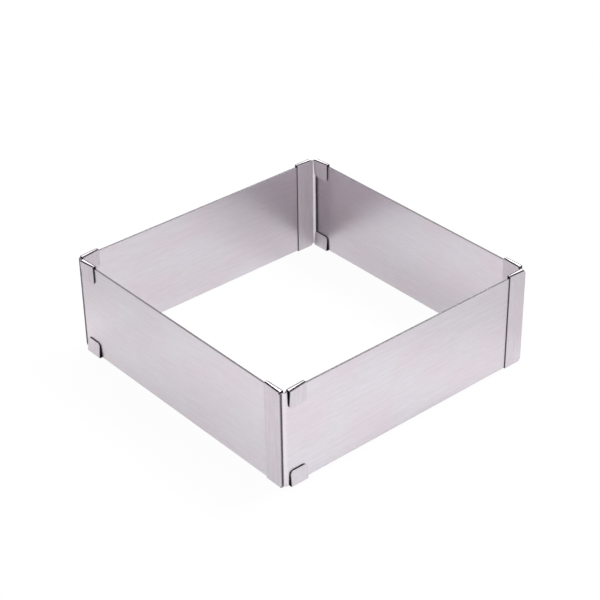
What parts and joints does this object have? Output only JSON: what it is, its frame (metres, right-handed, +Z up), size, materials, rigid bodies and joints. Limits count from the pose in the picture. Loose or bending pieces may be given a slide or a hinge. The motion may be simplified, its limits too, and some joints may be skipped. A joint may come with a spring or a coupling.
{
  "type": "adjustable cake frame",
  "caption": "Square pastry frame of thin brushed steel corner plates that slide along one another in folded end clips, so that its width and depth can be set.",
  "frame": {"origin": "middle of the closed frame, on the surface that it stands on", "axes": "+Z up, +X along the near right wall from the near corner to the right corner, +Y along the near left wall from the near corner to the left corner"},
  "size_m": [0.1526, 0.1526, 0.0519],
  "materials": {
    "plate_steel": "brushed stainless steel, grain along the wall",
    "clip_steel": "brushed stainless steel, grain up and down"
  },
  "bodies": {
    "near_corner": {"near_plate": "plate_steel", "near_outer_clip": "clip_steel", "near_inner_clip": "clip_steel"},
    "right_corner": {"right_plate": "plate_steel", "right_outer_clip": "clip_steel", "right_inner_clip": "clip_steel"},
    "back_corner": {"back_plate": "plate_steel", "back_outer_clip": "clip_steel", "back_inner_clip": "clip_steel"},
    "left_corner": {"left_plate": "plate_steel", "left_outer_clip": "clip_steel", "left_inner_clip": "clip_steel"}
  },
  "joints": [
    {"name": "width_slide", "type": "slide", "parent": "near_corner", "child": "right_corner", "axis": [1, 0, 0], "range_m": [0, 0.1253]},
    {"name": "depth_slide", "type": "slide", "parent": "near_corner", "child": "left_corner", "axis": [0, 1, 0], "range_m": [0, 0.1253]},
    {"name": "back_depth_slide", "type": "slide", "parent": "right_corner", "child": "back_corner", "axis": [0, 1, 0], "range_m": [0, 0.1253]}
  ],
  "couplings": [
    {"joint": "back_depth_slide", "follows": "depth_slide", "ratio": 1}
  ]
}
